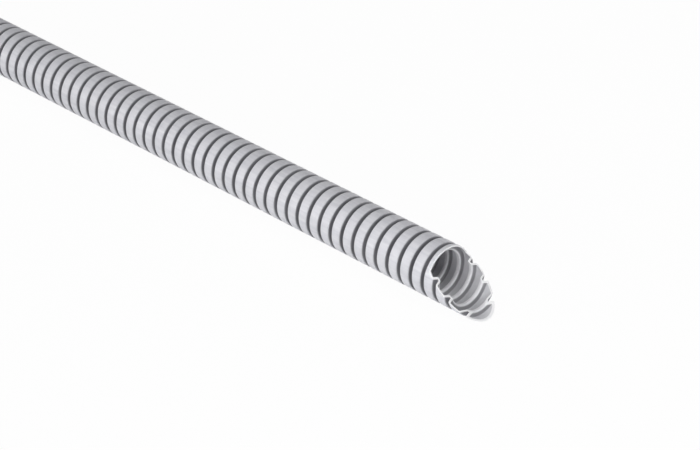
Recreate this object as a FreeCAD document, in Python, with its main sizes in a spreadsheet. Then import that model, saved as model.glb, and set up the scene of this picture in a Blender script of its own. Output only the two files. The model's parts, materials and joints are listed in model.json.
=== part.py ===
import FreeCAD, Part
import math
import os

import Sketcher

# Corrugated conduit, cut from a coil of thin-walled plastic stock and laid out straight along X.
# The whole cut is one moulded piece: rings with flat crests, one pitch apart, joined by narrow grooves.
# Its -X end is cut square. Its +X end is cut on a long bevel, whose tip lies at the bottom.
# The top of the bevel ends in a short square cut through the crest of a ring.
# Units are millimetres and degrees. Z points up and the conduit lies on the plane Z = 0.

SIZES = (
    ("stock_length", 1000.0, "square end to the tip of the bevel"),
    ("outer_diameter", 25.0, "over the crests"),
    ("bore_diameter", 19.0, "free way inside the grooves"),
    ("wall", 0.6, "thickness of the skin, square to its surface"),
    ("pitch", 6.73, "from one groove to the next"),
    ("crest_width", 4.6, "flat top of a ring, seen from outside"),
    ("groove_width", 0.7, "flat floor of a groove, seen from outside"),
    ("bevel_lean", 51.0, "angle between the bevelled cut and a square one"),
    ("bevel_turn", -180.0, "turn of the bevel's tip about the axis, from straight up"),
    ("tip_trim", 0.25, "taken off the crest of the last ring at the tip"),
    ("heel_trim", 2.5, "taken off the crest of the ring with the short square cut"),
)

NODE = "conduit"
PARTS_FOLDER = "parts"
RINGS_CROSSED = 3
WAVES_END = "(sizes.stock_length + sizes.tip_trim + (sizes.pitch - sizes.crest_width) / 2)"
WAVE_COUNT = f"ceil({WAVES_END} / sizes.pitch)"
HEEL = f"sizes.stock_length + sizes.tip_trim - sizes.heel_trim - {RINGS_CROSSED} * sizes.pitch"


def fill_sheet(document):
    """Writes each driving size into its own named cell, with a note of what it measures."""
    sheet = document.addObject("Spreadsheet::Sheet", "sizes")
    for row, (alias, value, note) in enumerate(SIZES, start=1):
        sheet.set(f"A{row}", alias)
        sheet.set(f"B{row}", str(value))
        sheet.set(f"C{row}", note)
        sheet.setAlias(f"B{row}", alias)
    document.recompute()
    return sheet


def new_sketch(body, name, role):
    """Adds an empty sketch on one of the body's own origin planes."""
    sketch = body.newObject("Sketcher::SketchObject", name)
    plane = next(item for item in body.Origin.OriginFeatures if item.Role == role)
    sketch.AttachmentSupport = [(plane, "")]
    sketch.MapMode = "FlatFace"
    return sketch


def add_outline(sketch, points):
    """Draws a closed outline through the points. Line number n starts at point number n."""
    corners = [FreeCAD.Vector(x, y, 0) for x, y in points]
    count = len(corners)
    for start in range(count):
        end = (start + 1) % count
        sketch.addGeometry(Part.LineSegment(corners[start], corners[end]), False)
    for line in range(count):
        following = (line + 1) % count
        sketch.addConstraint(Sketcher.Constraint("Coincident", line, 2, following, 1))


def add_rule(sketch, name, expression, kind, *where):
    """Adds a dimension, starting at the value it is drawn with, and binds it to the sheet."""
    number = sketch.addConstraint(Sketcher.Constraint(kind, *where))
    sketch.renameConstraint(number, name)
    sketch.setExpression(f"Constraints.{name}", expression)


def waves_end(sheet):
    """Place of the groove after the last ring, whose crest the tip of the bevel lies on."""
    return sheet.stock_length + sheet.tip_trim + (sheet.pitch - sheet.crest_width) / 2


def heel_place(sheet):
    """Place of the short square cut, on the crest of the ring that the bevel starts at."""
    return sheet.stock_length + sheet.tip_trim - sheet.heel_trim - RINGS_CROSSED * sheet.pitch


def wave_points(sheet):
    """Corners of one wave's section, from groove middle to groove middle: outer skin, then inner skin."""
    outer = sheet.outer_diameter / 2
    ridge = sheet.bore_diameter / 2
    floor = ridge + sheet.wall
    run = (sheet.pitch - sheet.crest_width - sheet.groove_width) / 2
    rise = outer - floor
    # Where both skins turn from flat to flank, the inner corner lies this far along from the outer one.
    shift = sheet.wall * (math.hypot(run, rise) - run) / rise
    end = waves_end(sheet)
    start = end - sheet.pitch
    foot = sheet.groove_width / 2
    shoulder = foot + run
    return (
        (start, floor),
        (start + foot, floor),
        (start + shoulder, outer),
        (end - shoulder, outer),
        (end - foot, floor),
        (end, floor),
        (end, ridge),
        (end - foot - shift, ridge),
        (end - shoulder - shift, outer - sheet.wall),
        (start + shoulder + shift, outer - sheet.wall),
        (start + foot + shift, ridge),
        (start, ridge),
    )


def draw_wave(body, sheet):
    """Section of one wave, with every size bound to the sheet."""
    sketch = new_sketch(body, "wave_section", "XZ_Plane")
    points = wave_points(sheet)
    add_outline(sketch, points)
    left_floor, left_flank, crest, right_flank, right_floor, right_end = range(6)
    right_ridge, right_inner_flank, cavity, left_inner_flank, left_ridge, left_end = range(6, 12)
    for line in (left_floor, crest, right_floor, right_ridge, cavity, left_ridge):
        sketch.addConstraint(Sketcher.Constraint("Horizontal", line))
    for line in (left_end, right_end):
        sketch.addConstraint(Sketcher.Constraint("Vertical", line))
    sketch.addConstraint(Sketcher.Constraint("Horizontal", left_floor, 2, right_floor, 1))
    sketch.addConstraint(Sketcher.Constraint("Horizontal", right_ridge, 2, left_ridge, 1))
    sketch.addConstraint(Sketcher.Constraint("Equal", left_flank, right_flank))
    sketch.addConstraint(Sketcher.Constraint("Parallel", left_flank, left_inner_flank))
    sketch.addConstraint(Sketcher.Constraint("Parallel", right_flank, right_inner_flank))
    first_x, floor_y = points[0]
    crest_y = points[2][1]
    ridge_y = points[6][1]
    cavity_y = points[8][1]
    pitch, wall = float(sheet.pitch), float(sheet.wall)
    half_groove = sheet.groove_width / 2
    rules = (
        ("wave_start", f"{WAVES_END} - sizes.pitch", "DistanceX", -1, 1, left_floor, 1, first_x),
        ("wave_pitch", "sizes.pitch", "DistanceX", left_floor, 1, right_floor, 2, pitch),
        ("left_half_groove", "sizes.groove_width / 2", "DistanceX", left_floor, 1, left_floor, 2, half_groove),
        ("right_half_groove", "sizes.groove_width / 2", "DistanceX", right_floor, 1, right_floor, 2,
         half_groove),
        ("crest_flat", "sizes.crest_width", "DistanceX", crest, 1, crest, 2, float(sheet.crest_width)),
        ("crest_radius", "sizes.outer_diameter / 2", "DistanceY", -1, 1, crest, 1, crest_y),
        ("floor_radius", "sizes.bore_diameter / 2 + sizes.wall", "DistanceY", -1, 1, left_floor, 1, floor_y),
        ("ridge_radius", "sizes.bore_diameter / 2", "DistanceY", -1, 1, right_ridge, 1, ridge_y),
        ("cavity_radius", "sizes.outer_diameter / 2 - sizes.wall", "DistanceY", -1, 1, cavity, 1, cavity_y),
        ("right_skin", "sizes.wall", "Distance", cavity, 1, right_flank, wall),
        ("left_skin", "sizes.wall", "Distance", cavity, 2, left_flank, wall),
    )
    for name, expression, kind, *where in rules:
        add_rule(sketch, name, expression, kind, *where)
    return sketch


def add_waves(body, sheet):
    """Turns one wave about the axis and repeats it from the bevelled end past the square end."""
    section = draw_wave(body, sheet)
    wave = body.newObject("PartDesign::Revolution", "wave")
    wave.Profile = section
    wave.ReferenceAxis = (section, ["H_Axis"])
    wave.Angle = 360
    body.Document.recompute()
    waves = body.newObject("PartDesign::LinearPattern", "waves")
    waves.Originals = [wave]
    waves.Direction = (section, ["H_Axis"])
    waves.Reversed = True
    waves.Mode = "Spacing"
    waves.setExpression("Offset", "sizes.pitch")
    waves.setExpression("Occurrences", WAVE_COUNT)
    body.Tip = waves
    body.Document.recompute()
    return waves


def add_square_cut(body, sheet):
    """Removes what the rings reach past X = 0, the body's own place for the square end."""
    sketch = new_sketch(body, "square_cut_outline", "YZ_Plane")
    radius = float(sheet.outer_diameter)
    sketch.addGeometry(Part.Circle(FreeCAD.Vector(0, 0, 0), FreeCAD.Vector(0, 0, 1), radius), False)
    sketch.addConstraint(Sketcher.Constraint("Coincident", 0, 3, -1, 1))
    add_rule(sketch, "cut_radius", "sizes.outer_diameter", "Radius", 0, radius)
    cut = body.newObject("PartDesign::Pocket", "square_cut")
    cut.Profile = sketch
    cut.Type = "ThroughAll"
    cut.Reversed = False
    body.Document.recompute()
    return cut


def add_bevel_cut(body, sheet):
    """Cuts the far end on a bevel, drawn from the side with the tip uppermost, down to its short square cut."""
    sketch = new_sketch(body, "bevel_cut_outline", "XZ_Plane")
    radius = sheet.outer_diameter / 2
    reach = float(sheet.outer_diameter)
    slope = math.tan(math.radians(sheet.bevel_lean))
    heel_x = heel_place(sheet)
    heel_y = radius - (sheet.stock_length - heel_x) / slope
    top_x = sheet.stock_length + (reach - radius) * slope
    side_x = top_x + sheet.pitch
    corners = ((heel_x, -reach), (heel_x, heel_y), (top_x, reach), (side_x, reach), (side_x, -reach))
    add_outline(sketch, corners)
    step, slant, top, side, bottom = range(5)
    tip = sketch.addGeometry(Part.Point(FreeCAD.Vector(sheet.stock_length, radius, 0)), True)
    for line in (top, bottom):
        sketch.addConstraint(Sketcher.Constraint("Horizontal", line))
    for line in (step, side):
        sketch.addConstraint(Sketcher.Constraint("Vertical", line))
    sketch.addConstraint(Sketcher.Constraint("PointOnObject", tip, 1, slant))
    rules = (
        ("tip_along", "sizes.stock_length", "DistanceX", -1, 1, tip, 1, float(sheet.stock_length)),
        ("tip_radius", "sizes.outer_diameter / 2", "DistanceY", -1, 1, tip, 1, radius),
        ("reach_up", "sizes.outer_diameter", "DistanceY", -1, 1, side, 1, reach),
        ("reach_across", "2 * sizes.outer_diameter", "DistanceY", side, 2, side, 1, 2 * reach),
        ("reach_beyond", "sizes.pitch", "DistanceX", top, 1, top, 2, float(sheet.pitch)),
        ("slant_angle", "90 deg - sizes.bevel_lean * 1 deg", "Angle", slant,
         math.radians(90 - sheet.bevel_lean)),
        ("heel_along", HEEL, "DistanceX", -1, 1, step, 1, heel_x),
    )
    for name, expression, kind, *where in rules:
        add_rule(sketch, name, expression, kind, *where)
    cut = body.newObject("PartDesign::Pocket", "bevel_cut")
    cut.Profile = sketch
    cut.Type = "ThroughAll"
    cut.SideType = "Symmetric"
    body.Document.recompute()
    return cut


def place(body):
    """Lays the conduit on Z = 0, centred along X, and turns the bevel's tip to the bottom."""
    body.Placement = FreeCAD.Placement(FreeCAD.Vector(0, 0, 0), FreeCAD.Rotation(FreeCAD.Vector(1, 0, 0), 1))
    body.setExpression("Placement.Base.x", "-sizes.stock_length / 2")
    body.setExpression("Placement.Base.z", "sizes.outer_diameter / 2")
    body.setExpression("Placement.Rotation.Angle", "sizes.bevel_turn")
    body.Document.recompute()


def expected_waves_volume(sheet):
    """Volume of the uncut waves, by Pappus: the section's area times the way its middle travels."""
    points = wave_points(sheet)
    moment = 0.0
    for (x1, y1), (x2, y2) in zip(points, points[1:] + points[:1]):
        moment += (x2 * y1 - x1 * y2) * (y1 + y2) / 6
    count = math.ceil(waves_end(sheet) / sheet.pitch)
    return 2 * math.pi * moment * count


def check(document, body, sheet, waves, square_cut, bevel_cut):
    """Stops with a plain message if any object failed, or if a cut removed nothing."""
    for item in document.Objects:
        if "Invalid" in item.State or "Error" in item.State:
            raise RuntimeError(f"{item.Name} failed: {item.State}")
    for item in document.Objects:
        if item.TypeId == "Sketcher::SketchObject" and not item.FullyConstrained:
            raise RuntimeError(f"{item.Name} has loose lines")
    expected = expected_waves_volume(sheet)
    if abs(waves.Shape.Volume / expected - 1) > 1e-6:
        raise RuntimeError(f"the waves hold {waves.Shape.Volume} and not {expected} cubic mm")
    volumes = (waves.Shape.Volume, square_cut.Shape.Volume, bevel_cut.Shape.Volume)
    if not volumes[0] > volumes[1] > volumes[2] > volumes[0] / 2:
        raise RuntimeError(f"a cut went the wrong way: {volumes}")
    shape = body.Shape
    if shape.isNull() or not shape.isValid() or len(shape.Solids) != 1:
        raise RuntimeError("the conduit is not one valid solid")


def main():
    """Builds the conduit and writes its shape."""
    document = FreeCAD.newDocument("corrugated_conduit")
    sheet = fill_sheet(document)
    body = document.addObject("PartDesign::Body", NODE)
    body.Label = NODE
    waves = add_waves(body, sheet)
    square_cut = add_square_cut(body, sheet)
    bevel_cut = add_bevel_cut(body, sheet)
    place(body)
    check(document, body, sheet, waves, square_cut, bevel_cut)
    os.makedirs(PARTS_FOLDER, exist_ok=True)
    body.Shape.exportStep(f"{PARTS_FOLDER}/{body.Label}.step")
    box = body.Shape.BoundBox
    print(f"{body.Label}: {len(body.Shape.Faces)} faces, {body.Shape.Volume:.1f} cubic mm")
    print(f"X {box.XMin:.3f} to {box.XMax:.3f}, Y {box.YMin:.3f} to {box.YMax:.3f}")
    print(f"Z {box.ZMin:.3f} to {box.ZMax:.3f}")


main()
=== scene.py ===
"""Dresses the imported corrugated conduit: the ringed tube, its cut ends, the studio and the camera.

Lengths are metres. X runs along the tube, Z points up, and the tube lies on the plane Z = 0.
"""

import json
import logging
import math
from dataclasses import dataclass, field
from enum import Enum
from typing import Any, Dict, Optional, Tuple, Union

import bpy
import numpy as np
from mathutils import Matrix, Vector


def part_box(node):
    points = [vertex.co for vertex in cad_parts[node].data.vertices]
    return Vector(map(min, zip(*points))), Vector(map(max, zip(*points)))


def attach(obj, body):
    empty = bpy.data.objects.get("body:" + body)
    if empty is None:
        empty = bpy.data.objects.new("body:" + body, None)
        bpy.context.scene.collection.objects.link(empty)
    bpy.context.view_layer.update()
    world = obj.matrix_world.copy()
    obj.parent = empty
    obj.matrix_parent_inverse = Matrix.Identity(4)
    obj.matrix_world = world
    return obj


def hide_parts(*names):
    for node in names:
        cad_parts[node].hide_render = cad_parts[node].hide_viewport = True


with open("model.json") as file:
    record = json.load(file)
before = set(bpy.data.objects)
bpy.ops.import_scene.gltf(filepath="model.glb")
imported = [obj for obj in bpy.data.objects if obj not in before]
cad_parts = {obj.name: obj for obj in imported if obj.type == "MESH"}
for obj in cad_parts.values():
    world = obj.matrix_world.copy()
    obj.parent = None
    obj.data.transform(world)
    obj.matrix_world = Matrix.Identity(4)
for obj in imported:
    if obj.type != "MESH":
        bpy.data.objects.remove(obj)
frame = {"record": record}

LOG = logging.getLogger("conduit")
NODE = "conduit"
SLOT = "grey_plastic"
MM = 0.001
IMAGE_WIDTH = 700
SENSOR_WIDTH = 36.0
CLIP_START = 0.01
WHITE = (1.0, 1.0, 1.0, 1.0)
NOISE_MIDDLE = 0.5
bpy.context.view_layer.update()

Number = Union[float, int]
Colour = Tuple[float, float, float]


class Stretch(Enum):
    """The lengths of tube that are modelled apart, from the square end to the bevelled one."""

    STOCK_LENGTH = "stock_length_rings"
    IN_VIEW = "middle_rings"
    BEVELLED_END = "bevelled_end"


@dataclass(frozen=True)
class RingSection:
    """Section of the tube's wall: one ring between two grooves, the same skin inside and out."""

    outer_radius: float
    ridge_radius: float
    crest_width: float
    pitch: float = 6.73 * MM
    wall: float = 0.6 * MM
    groove_width: float = 0.7 * MM
    shoulder_round: float = 0.55 * MM
    foot_round: float = 0.3 * MM
    inner_shoulder_less: float = 0.3 * MM
    inner_foot_more: float = 0.15 * MM

    @property
    def floor_radius(self) -> float:
        """Radius of a groove's floor, seen from outside."""
        return self.ridge_radius + self.wall

    @property
    def flank_run(self) -> float:
        """How far a flank runs along the tube between crest and groove."""
        return (self.pitch - self.crest_width - self.groove_width) / 2

    @property
    def inner_shift(self) -> float:
        """How far along the tube an inner corner lies from the outer corner that it follows."""
        rise = self.outer_radius - self.floor_radius
        return self.wall * (math.hypot(self.flank_run, rise) - self.flank_run) / rise

    def outer_corners(self) -> np.ndarray:
        """Corners of one wave's outer skin as (along, radius), from foot to foot.

        Returns:
            Four rows: foot, shoulder, shoulder, foot. Along is measured from the groove before the ring.
        """
        foot = self.groove_width / 2
        shoulder = foot + self.flank_run
        along = np.array([foot, shoulder, self.pitch - shoulder, self.pitch - foot])
        radius = np.array([self.floor_radius, self.outer_radius, self.outer_radius, self.floor_radius])
        return np.stack([along, radius], axis=1)

    def inner_corners(self) -> np.ndarray:
        """Corners of one wave's inner skin, one wall inside the outer corners.

        Returns:
            Four rows: ridge end, cavity end, cavity end, ridge end, as (along, radius).
        """
        corners = self.outer_corners()
        corners[:, 0] += self.inner_shift * np.array([1.0, 1.0, -1.0, -1.0])
        corners[:, 1] -= self.wall
        return corners

    def rounds(self, inside: bool) -> np.ndarray:
        """Rounding radius at each of one wave's four corners.

        Args:
            inside: True for the inner skin, whose shoulders are tighter and whose ridges are fuller.

        Returns:
            Four radii, in the corners' order.
        """
        shoulder = self.shoulder_round - (self.inner_shoulder_less if inside else 0.0)
        foot = self.foot_round + (self.inner_foot_more if inside else 0.0)
        return np.array([foot, shoulder, shoulder, foot])


def rounded_run(corners: np.ndarray, rounds: np.ndarray, steps: int) -> np.ndarray:
    """Replaces each inner corner of an open outline by an arc that is tangent to both its lines.

    With the unit directions u and v from a corner to its neighbours, the arc of radius r starts at a
    distance r / tan(half the angle between them) along u, ends at the same distance along v, and its
    centre is r / sin(half the angle) away along u + v. Its points are spaced evenly in angle.

    Args:
        corners: Outline points as rows, the first and last of which stay as they are.
        rounds: Arc radius at each inner corner.
        steps: Number of points on each arc.

    Returns:
        The rounded outline's points as rows.
    """
    middle = corners[1:-1]
    before = corners[:-2] - middle
    after = corners[2:] - middle
    before /= np.linalg.norm(before, axis=1, keepdims=True)
    after /= np.linalg.norm(after, axis=1, keepdims=True)
    half = np.arccos(np.clip((before * after).sum(axis=1), -1.0, 1.0)) / 2
    reach = rounds / np.tan(half)
    inward = before + after
    inward /= np.linalg.norm(inward, axis=1, keepdims=True)
    centres = middle + inward * (rounds / np.sin(half))[:, None]
    first = middle + before * reach[:, None] - centres
    last = middle + after * reach[:, None] - centres
    start = np.arctan2(first[:, 1], first[:, 0])
    sweep = np.arctan2(last[:, 1], last[:, 0]) - start
    sweep = (sweep + math.pi) % (2 * math.pi) - math.pi
    angles = start[:, None] + sweep[:, None] * np.linspace(0.0, 1.0, steps)[None, :]
    arcs = centres[:, None, :] + rounds[:, None, None] * np.stack([np.cos(angles), np.sin(angles)], axis=2)
    return np.concatenate([corners[:1], arcs.reshape(-1, 2), corners[-1:]])


def skin(section: RingSection, start: float, waves: int, steps: int, inside: bool) -> np.ndarray:
    """Outline of one skin over several waves: one wave's corners repeated a pitch apart, then rounded.

    Args:
        section: The wall's section.
        start: Place of the groove where the skin begins.
        waves: Number of rings.
        steps: Points on each rounded corner.
        inside: True for the inner skin.

    Returns:
        Points (along, radius) from the first groove's middle to the last one's.
    """
    wave = section.inner_corners() if inside else section.outer_corners()
    offsets = start + section.pitch * np.arange(waves)
    along = (wave[None, :, 0] + offsets[:, None]).ravel()
    radius = np.tile(wave[:, 1], waves)
    low = wave[0, 1]
    corners = np.stack([along, radius], axis=1)
    ends = np.array([[start, low], [start + section.pitch * waves, low]])
    corners = np.concatenate([ends[:1], corners, ends[1:]])
    return rounded_run(corners, np.tile(section.rounds(inside), waves), steps)


def turned_mesh(name: str, outline: np.ndarray, columns: int, height: float) -> bpy.types.Mesh:
    """Closed surface of an outline turned about the tube's axis.

    Point (i, j) of the grid is (along_i, radius_i cos a_j, height + radius_i sin a_j), where a_j goes
    round once and the outline closes on itself, so both ways round the grid meet.

    Args:
        name: The mesh's name.
        outline: Closed outline as (along, radius), outer skin towards +X and inner skin back.
        columns: Number of steps round the axis.
        height: Height of the axis.

    Returns:
        A mesh of quads whose faces point outwards.
    """
    rows = len(outline)
    angle = 2 * math.pi * np.arange(columns) / columns
    points = np.empty((rows, columns, 3))
    points[..., 0] = outline[:, :1]
    points[..., 1] = outline[:, 1:] * np.cos(angle)
    points[..., 2] = height + outline[:, 1:] * np.sin(angle)
    row, column = np.meshgrid(np.arange(rows), np.arange(columns), indexing="ij")
    next_row, next_column = (row + 1) % rows, (column + 1) % columns
    quads = np.stack([row * columns + column, row * columns + next_column,
                      next_row * columns + next_column, next_row * columns + column], axis=2)
    return grid_mesh(name, points.reshape(-1, 3), quads.reshape(-1, 4))


def grid_mesh(name: str, points: np.ndarray, quads: np.ndarray) -> bpy.types.Mesh:
    """Puts whole arrays of points and quads into a new mesh.

    Args:
        name: The mesh's name.
        points: One row of three coordinates a point.
        quads: One row of four point numbers a face.

    Returns:
        The new mesh.
    """
    mesh = bpy.data.meshes.new(name)
    mesh.vertices.add(len(points))
    mesh.vertices.foreach_set("co", points.astype(np.float32).ravel())
    mesh.loops.add(quads.size)
    mesh.loops.foreach_set("vertex_index", quads.astype(np.int32).ravel())
    mesh.polygons.add(len(quads))
    mesh.polygons.foreach_set("loop_start", np.arange(0, quads.size, 4, dtype=np.int32))
    mesh.update(calc_edges=True)
    mesh.validate()
    return mesh


def smooth(mesh: bpy.types.Mesh, sharp_degrees: float = 50.0) -> None:
    """Shades a mesh smoothly, except over edges sharper than the given angle."""
    mesh.polygons.foreach_set("use_smooth", np.ones(len(mesh.polygons), dtype=bool))
    mesh.set_sharp_from_angle(angle=math.radians(sharp_degrees))


def mark_inside(mesh: bpy.types.Mesh, section: RingSection, groove: float, height: float) -> None:
    """Stores at each point whether it lies on the inner skin, as the attribute "inside".

    A point is inside where its radius is less than the mean of both skins' radii at its place in the
    wave, which is its distance along the tube from a groove, less as many whole pitches as fit in it.

    Args:
        mesh: The finished mesh.
        section: The wall's section.
        groove: Place of any one groove along the tube.
        height: Height of the axis.
    """
    count = len(mesh.vertices)
    points = np.empty(3 * count, dtype=np.float32)
    mesh.vertices.foreach_get("co", points)
    along, side, up = points.reshape(count, 3).T
    wave = (along - groove) % section.pitch
    skins = (section.outer_corners(), section.inner_corners())
    middle = sum(np.interp(wave, corners[:, 0], corners[:, 1]) for corners in skins) / 2
    mask = (np.hypot(side, up - height) < middle).astype(np.float32)
    mesh.attributes.new("inside", "FLOAT", "POINT").data.foreach_set("value", mask)


@dataclass(frozen=True)
class EndCut:
    """The bevelled end: a slanted plane down to the tip, and a short square cut where it starts."""

    tip_place: float
    axis_height: float
    outer_radius: float
    pitch: float
    lean: float = math.radians(51.0)
    turn: float = math.radians(-180.0)
    tip_trim: float = 0.25 * MM
    heel_trim: float = 2.5 * MM
    rings_crossed: int = 3
    waste_radii: int = 3

    @property
    def slope(self) -> float:
        """How far the slanted plane runs along the tube for each length across it."""
        return math.tan(self.lean)

    @property
    def heel_place(self) -> float:
        """Place of the short square cut along X."""
        return self.tip_place + self.tip_trim - self.heel_trim - self.rings_crossed * self.pitch

    @property
    def tip_side(self) -> Tuple[float, float]:
        """Unit direction across the tube, in Y and Z, from the axis to the tip."""
        return -math.sin(self.turn), math.cos(self.turn)

    @property
    def heel_side(self) -> float:
        """Place of the bend between the two planes, across the tube towards the tip."""
        return self.outer_radius - (self.tip_place - self.heel_place) / self.slope

    def waste(self) -> bpy.types.Object:
        """A closed block that fills the space the cut takes away, for a boolean cut.

        The block is the side outline (square cut, slanted plane, then a box around the rest) carried
        across the tube: point (i, j) is outline point i moved to the left or right by the block's reach.

        Returns:
            The block as an object.
        """
        reach = self.waste_radii * self.outer_radius
        top = self.tip_place + self.slope * (reach - self.outer_radius)
        far = top + (self.tip_place + reach)
        outline = np.array([(self.heel_place, -reach), (self.heel_place, self.heel_side), (top, reach),
                            (far, reach), (far, -reach)])
        y, z = self.tip_side
        across = np.array([[0.0, -z, y], [0.0, z, -y]]) * reach
        place = np.array([0.0, 0.0, self.axis_height])
        spread = outline[:, :1] * np.array([[1.0, 0.0, 0.0]]) + outline[:, 1:] * np.array([[0.0, y, z]])
        points = (spread[None, :, :] + across[:, None, :] + place).reshape(-1, 3)
        count = len(outline)
        index = np.arange(count)
        sides = np.stack([index, (index + 1) % count, (index + 1) % count + count, index + count], axis=1)
        mesh = bpy.data.meshes.new("end_cut_waste")
        faces = sides.tolist() + [index[::-1].tolist(), (index + count).tolist()]
        mesh.from_pydata(points.tolist(), [], faces)
        mesh.update()
        block = bpy.data.objects.new("end_cut_waste", mesh)
        bpy.context.scene.collection.objects.link(block)
        return block

    def apply(self, mesh: bpy.types.Mesh) -> bpy.types.Mesh:
        """Cuts the waste off a closed mesh.

        Args:
            mesh: The uncut end of the tube.

        Returns:
            A new mesh, cut on both planes and closed there.
        """
        uncut = bpy.data.objects.new("uncut_end", mesh)
        bpy.context.scene.collection.objects.link(uncut)
        waste = self.waste()
        cut = uncut.modifiers.new("end_cut", "BOOLEAN")
        cut.operation = "DIFFERENCE"
        cut.solver = "EXACT"
        cut.object = waste
        graph = bpy.context.evaluated_depsgraph_get()
        result = bpy.data.meshes.new_from_object(uncut.evaluated_get(graph), depsgraph=graph)
        for item in (uncut, waste):
            old = item.data
            bpy.data.objects.remove(item)
            bpy.data.meshes.remove(old)
        return result


class Graph:
    """Builds a node tree. Every node but the maths comes from its one method, node."""

    def __init__(self, tree: bpy.types.NodeTree) -> None:
        """Empties the tree and keeps it."""
        self.tree = tree
        tree.nodes.clear()

    def node(self, kind: str, settings: Optional[Dict[str, Any]] = None,
             **inputs: Any) -> bpy.types.Node:
        """Adds a node, sets its settings first and then its sockets.

        Args:
            kind: The node's type name.
            settings: Values of the node's own properties.
            **inputs: Values or links by socket name, with an underscore for each space, or i0, i1 and
                so on for a socket's number.

        Returns:
            The new node.
        """
        made = self.tree.nodes.new(kind)
        for key, value in (settings or {}).items():
            setattr(made, key, value)
        for key, value in inputs.items():
            numbered = key[0] == "i" and key[1:].isdigit()
            socket = made.inputs[int(key[1:]) if numbered else key.replace("_", " ")]
            self.feed(socket, value)
        return made

    def feed(self, socket: bpy.types.NodeSocket, value: Any) -> None:
        """Links a socket to a field or another socket, or sets its value.

        Args:
            socket: The input to feed.
            value: A field or a socket to link it to, or its value.
        """
        if isinstance(value, Field):
            value = value.socket
        if isinstance(value, bpy.types.NodeSocket):
            self.tree.links.new(value, socket)
        else:
            socket.default_value = value

    def field(self, socket: bpy.types.NodeSocket) -> "Field":
        """Wraps a socket for shader maths."""
        return Field(self, socket)

    def mix_colour(self, factor: "Field", under: Any, over: Any) -> bpy.types.NodeSocket:
        """Mixes two colours, values or sockets: a factor of 0 shows the one under, and 1 the one over."""
        made = self.node("ShaderNodeMix", {"data_type": "RGBA"}, i0=factor, i6=under, i7=over)
        return made.outputs[2]


class Field:
    """A number that varies over a surface. Its operators add Math nodes."""

    def __init__(self, graph: Graph, socket: bpy.types.NodeSocket) -> None:
        """Keeps the graph and the socket that carries the number."""
        self.graph = graph
        self.socket = socket

    def maths(self, operation: str, *values: Union["Field", Number]) -> "Field":
        """Adds one Math node.

        Args:
            operation: The node's operation.
            *values: Its inputs, in order.

        Returns:
            The result.
        """
        inputs = {f"i{number}": value for number, value in enumerate(values)}
        made = self.graph.node("ShaderNodeMath", {"operation": operation}, **inputs)
        return Field(self.graph, made.outputs[0])

    def __add__(self, other: Union["Field", Number]) -> "Field":
        """self + other"""
        return self.maths("ADD", self, other)

    __radd__ = __add__

    def __sub__(self, other: Union["Field", Number]) -> "Field":
        """self - other"""
        return self.maths("SUBTRACT", self, other)

    def __rsub__(self, other: Number) -> "Field":
        """other - self"""
        return self.maths("SUBTRACT", other, self)

    def __mul__(self, other: Union["Field", Number]) -> "Field":
        """self * other"""
        return self.maths("MULTIPLY", self, other)

    __rmul__ = __mul__

    def __abs__(self) -> "Field":
        """abs(self)"""
        return self.maths("ABSOLUTE", self)

    def root(self) -> "Field":
        """Square root."""
        return self.maths("SQRT", self)

    def at_most(self, other: Union["Field", Number]) -> "Field":
        """The smaller of two numbers."""
        return self.maths("MINIMUM", self, other)

    def at_least(self, other: Union["Field", Number]) -> "Field":
        """The larger of two numbers."""
        return self.maths("MAXIMUM", self, other)

    def above(self, limit: float, soft: float) -> "Field":
        """Rises smoothly from 0 to 1 as the number passes a limit.

        Args:
            limit: Where the rise has reached a half.
            soft: Half the width of the rise.

        Returns:
            The mask.
        """
        made = self.graph.node("ShaderNodeMapRange", {"interpolation_type": "SMOOTHSTEP"},
                               i0=self, i1=limit - soft, i2=limit + soft, i3=0.0, i4=1.0)
        return Field(self.graph, made.outputs[0])

    def near(self, full: float, fade: float) -> "Field":
        """A mask that is 1 while the number's size is under full and falls to 0 over fade."""
        return 1.0 - abs(self).above(full + fade / 2, fade / 2)


@dataclass(frozen=True)
class Share:
    """A strength that varies with a noise: base + gain * noise."""

    base: float
    gain: float

    def over(self, noise: Field) -> Field:
        """The strength at each point."""
        return self.base + self.gain * noise


@dataclass(frozen=True)
class Band:
    """A band that is whole up to a distance from its middle and then fades, both in metres."""

    whole: float
    fade: float

    def on(self, distance: Field) -> Field:
        """The band's mask."""
        return distance.near(self.whole, self.fade)


@dataclass(frozen=True)
class Slope:
    """A mask's rise with height: the height where it has reached a half, and half its width."""

    height: float
    soft: float

    def under(self, number: Field, base: float) -> Field:
        """1 under the height over a base, and 0 above it."""
        return 1.0 - number.above(base + self.height, self.soft)


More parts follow.
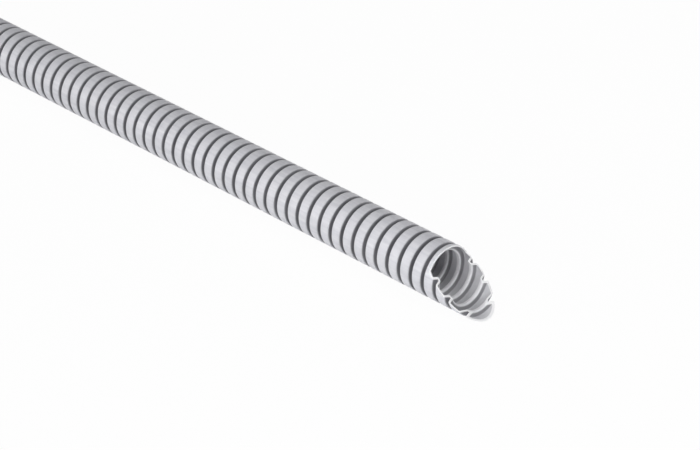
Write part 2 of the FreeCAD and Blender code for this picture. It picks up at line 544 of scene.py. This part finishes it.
@dataclass(frozen=True)
class GreyPlastic:
    """Finish of the tube: light grey moulded plastic, satin, paler where it was cut, with painted shade in
    the grooves and inner corners and painted highlight on the inner ridges and cut edges.
    """

    cut: EndCut
    section: RingSection
    square_place: float
    grey: Colour = (0.650, 0.650, 0.676)
    cool: Colour = (0.505, 0.507, 0.545)
    # Painted highlight: a lighter colour for the inner ridges, where light catches them.
    ridge: Colour = (0.820, 0.820, 0.840)
    cavity: Colour = (0.680, 0.680, 0.705)
    # Painted shade: near-black colour laid over the groove floors and the inner corners, where shade falls.
    dust: Colour = (0.100, 0.100, 0.110)
    through: Colour = (0.850, 0.850, 0.880)
    clearness: float = 0.15
    # Pale colour of the cut faces, also laid beside them as whitening and painted edge highlight.
    cut_white: Colour = (0.930, 0.930, 0.940)
    roughness: float = 0.56
    patch_roughness: float = 0.10
    streak_roughness: float = 0.14
    cut_roughness: float = 0.35
    refraction: float = 1.52
    patches_a_metre: float = 140.0
    grains_a_metre: float = 2600.0
    patch_detail: float = 3.0
    grain_detail: float = 4.0
    noise_roughness: float = 0.55
    streak_scale: Tuple[float, float, float] = (70.0, 850.0, 850.0)
    streak_detail: float = 3.0
    patch_shade: float = 0.4
    streak_shade: float = 1.8
    shade_less: float = 0.6
    # Painted shade in the outer grooves: whole below this height over the groove floor.
    groove_dust: Slope = Slope(2.06 * MM, 0.36 * MM)
    groove_dust_share: Share = Share(0.80, 0.25)
    # Painted shade in the inner corners beside each ridge.
    corner_dust: Band = Band(0.5 * MM, 0.6 * MM)
    corner_dust_height: float = 1.5 * MM
    corner_dust_share: Share = Share(0.68, 0.25)
    # Painted highlight on the inner ridges, whole below this height over the ridge.
    ridge_wear: Slope = Slope(0.45 * MM, 0.30 * MM)
    ridge_wear_share: Share = Share(0.75, 0.25)
    cut_face: Band = Band(0.012 * MM, 0.02 * MM)
    # Band beside the cuts: stress whitening and painted edge highlight.
    whitening: Band = Band(0.05 * MM, 0.35 * MM)
    whitening_share: Share = Share(0.60, 0.60)
    bend_soft: float = 0.02 * MM
    parting_turn: float = math.radians(52.0)
    parting_band: Band = Band(0.05 * MM, 0.12 * MM)
    parting_height: float = 0.05 * MM
    grain_height: float = 0.020 * MM
    streak_height: float = 0.006 * MM
    bump_strength: float = 0.6

    def build(self) -> bpy.types.Material:
        """Makes the material.

        Returns:
            The material, whose patterns all read Object coordinates.
        """
        material = bpy.data.materials.new(SLOT)
        material.use_nodes = True
        graph = Graph(material.node_tree)
        place = graph.node("ShaderNodeTexCoord").outputs["Object"]
        split = graph.node("ShaderNodeSeparateXYZ", None, i0=place)
        along, side, up = (graph.field(split.outputs[number]) for number in range(3))
        up = up - self.cut.axis_height
        radius = (side * side + up * up).root()

        inside = graph.field(graph.node("ShaderNodeAttribute", {"attribute_name": "inside"}).outputs["Fac"])
        outside = 1.0 - inside
        faces, edges = self.cut_masks(along, side, up)
        mottle = self.noise(graph, place, self.patches_a_metre, self.patch_detail)
        grain = self.noise(graph, place, self.grains_a_metre, self.grain_detail)
        streaks = self.streaks(graph, place)

        # Painted shade: the outer groove floors darkened where shade falls, varied with the patches.
        groove_shade_mask = self.groove_dust.under(radius, self.section.floor_radius)
        painted_shade = groove_shade_mask * outside * self.groove_dust_share.over(mottle).at_most(1.0) * (1.0 - faces)

        shade = self.patch_shade * mottle + self.streak_shade * streaks - self.shade_less
        colour = graph.mix_colour(shade, (*self.grey, 1.0), (*self.cool, 1.0))
        # Painted highlight: the inner ridges lighter where light catches them, varied with the grain.
        highlit_ridges = self.ridge_wear.under(radius, self.section.ridge_radius)
        # Painted shade: a band in the inner corners beside each ridge, where shade falls.
        corner_radius = self.section.ridge_radius + self.corner_dust_height
        corner = self.corner_dust.on(radius - corner_radius) * inside
        painted_highlight = highlit_ridges * self.ridge_wear_share.over(grain)
        lining = graph.mix_colour(painted_highlight, (*self.cavity, 1.0), (*self.ridge, 1.0))
        colour = graph.mix_colour(inside, colour, lining)
        # The painted shade of the inner corners joins that of the grooves.
        painted_shade = painted_shade.at_least(corner * self.corner_dust_share.over(mottle) * (1.0 - faces))
        # Lays the painted shade of the grooves and the inner corners over the colour.
        colour = graph.mix_colour(painted_shade, colour, (*self.dust, 1.0))
        # The cut faces paler, and the band beside them whitened and painted as edge highlight.
        pale = (edges * self.whitening_share.over(grain) + faces).at_most(1.0)
        colour = graph.mix_colour(pale, colour, (*self.cut_white, 1.0))

        rough = (self.roughness + self.patch_roughness * (mottle - NOISE_MIDDLE)
                 + self.streak_roughness * (streaks - NOISE_MIDDLE) * outside + self.cut_roughness * faces)
        height = (grain * self.grain_height + streaks * self.streak_height
                  + self.parting_line(side, up) * self.parting_height)
        bump = graph.node("ShaderNodeBump", None, Strength=self.bump_strength, Distance=1.0, Height=height)
        shader = graph.node("ShaderNodeBsdfPrincipled", None, Base_Color=colour, Roughness=rough,
                            Normal=bump.outputs["Normal"], IOR=self.refraction)
        glow = graph.node("ShaderNodeBsdfTranslucent", None, Color=(*self.through, 1.0))
        both = graph.node("ShaderNodeMixShader", None, i0=self.clearness, i1=shader.outputs[0],
                          i2=glow.outputs[0])
        graph.node("ShaderNodeOutputMaterial", None, Surface=both.outputs[0])
        return material

    def noise(self, graph: Graph, place: bpy.types.NodeSocket, scale: float, detail: float) -> Field:
        """Soft noise from 0 to 1 over the surface, with the given number of features a metre."""
        made = graph.node("ShaderNodeTexNoise", None, Vector=place, Scale=scale, Detail=detail,
                          Roughness=self.noise_roughness)
        return graph.field(made.outputs[0])

    def streaks(self, graph: Graph, place: bpy.types.NodeSocket) -> Field:
        """Noise from 0 to 1 drawn out along the tube, like the marks that handling and the mould leave."""
        drawn = graph.node("ShaderNodeMapping", None, Vector=place, Scale=self.streak_scale)
        return self.noise(graph, drawn.outputs[0], 1.0, self.streak_detail)

    def parting_line(self, side: Field, up: Field) -> Field:
        """The mould's two parting lines, opposite each other, as a mask under half a millimetre wide."""
        across = up * math.cos(self.parting_turn) - side * math.sin(self.parting_turn)
        return self.parting_band.on(across)

    def cut_masks(self, along: Field, side: Field, up: Field) -> Tuple[Field, Field]:
        """Masks of the freshly cut faces and of the band beside them, which is whitened plastic and painted
        edge highlight.

        The distance to the slanted plane is (along - tip - slope (w - outer radius)) cos(lean), where w is
        the place across the tube towards the tip. The plane counts past the bend, the short square cut
        before it, and the far end's cut everywhere.

        Args:
            along: Place along the tube.
            side: Place across the tube, in Y.
            up: Height above the axis.

        Returns:
            The mask of the cut faces, and the mask of their edges.
        """
        cut = self.cut
        y, z = cut.tip_side
        w = side * y + up * z
        slant = (along - cut.tip_place - (w - cut.outer_radius) * cut.slope) * math.cos(cut.lean)
        heel = along - cut.heel_place
        past_bend = heel.above(0.0, self.bend_soft)
        before_bend = 1.0 - (w - cut.heel_side).above(0.0, self.bend_soft)
        square = along - self.square_place
        faces, edges = (
            (band.on(slant) * past_bend).at_least(band.on(heel) * before_bend).at_least(band.on(square))
            for band in (self.cut_face, self.whitening))
        return faces, edges


@dataclass
class Tube:
    """The conduit, dressed in three stretches that meet in the middle of grooves."""

    section: RingSection
    cut: EndCut
    square_place: float
    material: bpy.types.Material
    end_waves: int = 8
    view_waves: int = 41
    columns: Dict[Stretch, int] = field(default_factory=lambda: {
        Stretch.STOCK_LENGTH: 56, Stretch.IN_VIEW: 88, Stretch.BEVELLED_END: 144})
    corner_steps: Dict[Stretch, Tuple[int, int]] = field(default_factory=lambda: {
        Stretch.STOCK_LENGTH: (2, 2), Stretch.IN_VIEW: (4, 2), Stretch.BEVELLED_END: (5, 4)})

    @property
    def last_groove(self) -> float:
        """Place of the groove after the ring that the tip lies on."""
        cut = self.cut
        return cut.tip_place + cut.tip_trim + (self.section.pitch - self.section.crest_width) / 2

    def outline(self, stretch: Stretch, start: float, waves: int) -> np.ndarray:
        """Closed outline of one stretch: the outer skin towards +X, then the inner skin back.

        Args:
            stretch: Which stretch, for how finely its corners are rounded.
            start: Place of its first groove.
            waves: Its number of rings.

        Returns:
            Points (along, radius).
        """
        outer_steps, inner_steps = self.corner_steps[stretch]
        outer = skin(self.section, start, waves, outer_steps, False)
        inner = skin(self.section, start, waves, inner_steps, True)
        return np.concatenate([outer, inner[::-1]])

    def square_outline(self, stretch: Stretch, start: float, waves: int) -> np.ndarray:
        """The outline of the stretch whose first ring is cut through square.

        Its points before the cut are dropped, and both skins start on the cut instead.

        Args:
            stretch: Which stretch.
            start: Place of the groove that the cut takes away.
            waves: Its number of rings, the cut one among them.

        Returns:
            Points (along, radius).
        """
        outer_steps, inner_steps = self.corner_steps[stretch]
        kept = []
        for steps, inside in ((outer_steps, False), (inner_steps, True)):
            points = skin(self.section, start, waves, steps, inside)
            radius = np.interp(self.square_place, points[:, 0], points[:, 1])
            beyond = points[points[:, 0] > self.square_place]
            kept.append(np.concatenate([[[self.square_place, radius]], beyond]))
        return np.concatenate([kept[0], kept[1][::-1]])

    def build(self) -> Dict[Stretch, bpy.types.Object]:
        """Makes the three stretches.

        Returns:
            The finished pieces by stretch.
        """
        pitch = self.section.pitch
        end_start = self.last_groove - self.end_waves * pitch
        view_start = end_start - self.view_waves * pitch
        stock_waves = math.ceil((view_start - self.square_place) / pitch)
        outlines = {
            Stretch.STOCK_LENGTH: self.square_outline(
                Stretch.STOCK_LENGTH, view_start - stock_waves * pitch, stock_waves),
            Stretch.IN_VIEW: self.outline(Stretch.IN_VIEW, view_start, self.view_waves),
            Stretch.BEVELLED_END: self.outline(Stretch.BEVELLED_END, end_start, self.end_waves),
        }
        pieces = {}
        for stretch, outline in outlines.items():
            mesh = turned_mesh(stretch.value, outline, self.columns[stretch], self.cut.axis_height)
            if stretch is Stretch.BEVELLED_END:
                mesh = self.cut.apply(mesh)
                mesh.name = stretch.value
            smooth(mesh)
            mark_inside(mesh, self.section, self.last_groove, self.cut.axis_height)
            pieces[stretch] = self.finish(stretch, mesh)
        return pieces

    def finish(self, stretch: Stretch, mesh: bpy.types.Mesh) -> bpy.types.Object:
        """Makes a mesh a piece of the conduit.

        Args:
            stretch: The stretch that it is.
            mesh: Its finished mesh.

        Returns:
            The piece, which rides on the part's one body and stands for its one node.
        """
        mesh.materials.clear()
        mesh.materials.append(self.material)
        piece = bpy.data.objects.new(stretch.value, mesh)
        bpy.context.scene.collection.objects.link(piece)
        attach(piece, "root")
        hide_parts(NODE)
        triangles = sum(len(face.vertices) - 2 for face in mesh.polygons)
        LOG.info("%s: %d triangles", piece.name, triangles)
        return piece


@dataclass(frozen=True)
class SoftLamp:
    """A square lamp: its name, place, length of side, power in watts and beam's spread in degrees."""

    name: str
    place: Tuple[float, float, float]
    size: float
    power: float
    spread: float


@dataclass(frozen=True)
class Studio:
    """A white floor and surround, a low lamp with a narrow beam at the camera's left, and wide ones."""

    lamps: Tuple[SoftLamp, ...] = (
        SoftLamp("low_strip", (-1.9, -2.6, 0.5), 0.8, 10.5, 70.0),
        SoftLamp("left_softbox", (0.3, -1.3, 0.6), 0.7, 3.2, 140.0),
        SoftLamp("front_softbox", (0.8, -0.6, 0.17), 0.35, 1.2, 140.0),
        SoftLamp("overhead", (0.8, 0.0, 0.9), 0.6, 2.0, 140.0),
        SoftLamp("end_lamp", (2.2, 0.1, 0.9), 0.5, 6.8, 140.0),
        SoftLamp("back_softbox", (-0.3, 2.6, 0.35), 1.2, 20.0, 180.0),
        SoftLamp("square_end_lamp", (-2.6, 0.8, 0.4), 0.8, 18.0, 180.0),
    )
    aim: Tuple[float, float, float] = (0.60, 0.0, 0.0)
    floor_size: float = 12.0
    floor_colour: Colour = (0.80, 0.80, 0.80)
    floor_lift: float = 0.97
    ambient: float = 0.04

    def background_factor(self, graph: Graph) -> Field:
        """1 where the background is seen, in reflections too, and 0 where it lights the object.

        Args:
            graph: The graph of the world or the floor.

        Returns:
            The factor.
        """
        path = graph.node("ShaderNodeLightPath")
        rays = ("Is Camera Ray", "Is Glossy Ray", "Is Transmission Ray")
        camera, glossy, through = (graph.field(path.outputs[ray]) for ray in rays)
        return camera.at_least(glossy).at_least(through)

    def build_world(self) -> None:
        """White to the camera and in reflections, and a weaker even light on the object."""
        world = bpy.data.worlds.new("studio_surround")
        world.use_nodes = True
        graph = Graph(world.node_tree)
        seen = self.background_factor(graph)
        faint = graph.node("ShaderNodeBackground", None, Color=WHITE, Strength=self.ambient)
        white = graph.node("ShaderNodeBackground", None, Color=WHITE, Strength=1.0)
        both = graph.node("ShaderNodeMixShader", None, i0=seen, i1=faint.outputs[0], i2=white.outputs[0])
        graph.node("ShaderNodeOutputWorld", None, Surface=both.outputs[0])
        bpy.context.scene.world = world

    def build_floor(self) -> None:
        """Makes a pale floor that the camera sees as nearly white, in four equal squares."""
        half = self.floor_size / 2
        count = 3
        steps = np.linspace(-half, half, count)
        x, y = np.meshgrid(steps, steps, indexing="ij")
        points = np.stack([x, y, np.zeros_like(x)], axis=2).reshape(-1, 3)
        corner = np.array([0, 1, count, count + 1])
        quads = np.stack([corner, corner + count, corner + count + 1, corner + 1], axis=1)
        floor = bpy.data.objects.new("studio_floor", grid_mesh("studio_floor", points, quads))
        material = bpy.data.materials.new("studio_floor")
        material.use_nodes = True
        graph = Graph(material.node_tree)
        matt = graph.node("ShaderNodeBsdfDiffuse", None, Color=(*self.floor_colour, 1.0))
        white = graph.node("ShaderNodeEmission", None, Color=WHITE, Strength=1.0)
        lift = self.background_factor(graph) * self.floor_lift
        both = graph.node("ShaderNodeMixShader", None, i0=lift, i1=matt.outputs[0], i2=white.outputs[0])
        graph.node("ShaderNodeOutputMaterial", None, Surface=both.outputs[0])
        floor.data.materials.append(material)
        bpy.context.scene.collection.objects.link(floor)

    def add_lamp(self, lamp: SoftLamp) -> None:
        """Hangs a square soft lamp that faces the conduit.

        Args:
            lamp: The lamp's measures.
        """
        light = bpy.data.lights.new(lamp.name, "AREA")
        light.shape = "SQUARE"
        light.size = lamp.size
        light.energy = lamp.power
        light.spread = math.radians(lamp.spread)
        made = bpy.data.objects.new(lamp.name, light)
        away = Vector(lamp.place) - Vector(self.aim)
        turn = away.to_track_quat("Z", "Y").to_matrix().to_4x4()
        made.matrix_world = Matrix.Translation(Vector(lamp.place)) @ turn
        bpy.context.scene.collection.objects.link(made)

    def build(self) -> None:
        """Makes the floor, the surround and the lamps."""
        self.build_world()
        self.build_floor()
        for lamp in self.lamps:
            self.add_lamp(lamp)


@dataclass(frozen=True)
class PhotoCamera:
    """The camera, placed so that the rings, the outlines and the tip fall where the photo has them."""

    tip_place: float
    radius: float
    focal_pixels: float = 2338.4586
    origin_in_view: Tuple[float, float, float] = (-12.93331, -6.614494, 91.05781)
    run_turn: float = 0.4701296
    run_dip: float = 0.6588178
    tip_from_origin: float = 24.725

    def build(self) -> None:
        """Makes the camera and gives it to the scene.

        The fit gives, in units of the tube's radius, the view coordinates of a point on the axis and the
        direction of the axis. The world's axes in the view follow from it, because the camera isn't tilted
        sideways, and the camera's place is the point they carry the view's origin to.
        """
        run = np.array([math.cos(self.run_dip) * math.cos(self.run_turn),
                        math.cos(self.run_dip) * math.sin(self.run_turn), -math.sin(self.run_dip)])
        dip = math.atan2(run[1], -run[2])
        up = np.array([0.0, -math.cos(dip), -math.sin(dip)])
        world_axes = np.array([run, np.cross(up, run), up])
        place = -world_axes @ np.array(self.origin_in_view)
        origin = np.array([self.tip_place - self.tip_from_origin * self.radius, 0.0, self.radius])
        place = place * self.radius + origin
        turn = np.stack([world_axes[:, 0], -world_axes[:, 1], -world_axes[:, 2]], axis=1)
        camera = bpy.data.cameras.new("photo_camera")
        camera.sensor_width = SENSOR_WIDTH
        camera.lens = self.focal_pixels / IMAGE_WIDTH * SENSOR_WIDTH
        camera.clip_start = CLIP_START
        made = bpy.data.objects.new("photo_camera", camera)
        made.matrix_world = Matrix.Translation(Vector(place)) @ Matrix(turn.tolist()).to_4x4()
        bpy.context.scene.collection.objects.link(made)
        bpy.context.scene.camera = made


def mount(name: str) -> Dict[str, Any]:
    """The record's mount of that name."""
    return next(item for item in frame["record"]["mounts"] if item["name"] == name)


def main() -> None:
    """Builds the conduit, the studio and the camera, in that order."""
    logging.basicConfig(level=logging.INFO, format="%(name)s: %(message)s")
    low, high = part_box(NODE)
    outer_radius = high.z / 2
    section = RingSection(outer_radius=outer_radius, ridge_radius=mount("bore")["dims"]["r_mm"] * MM,
                          crest_width=mount("end_ring")["dims"]["length_mm"] * MM)
    cut = EndCut(tip_place=high.x, axis_height=outer_radius, outer_radius=outer_radius, pitch=section.pitch)
    finish = GreyPlastic(cut=cut, section=section, square_place=low.x)
    tube = Tube(section=section, cut=cut, square_place=low.x, material=finish.build())
    for stretch, piece in tube.build().items():
        LOG.info("built %s as %s", stretch.name, piece.name)
    bpy.context.scene.view_settings.view_transform = "Standard"
    Studio().build()
    PhotoCamera(tip_place=high.x, radius=outer_radius).build()


if __name__ == "__main__":
    main()
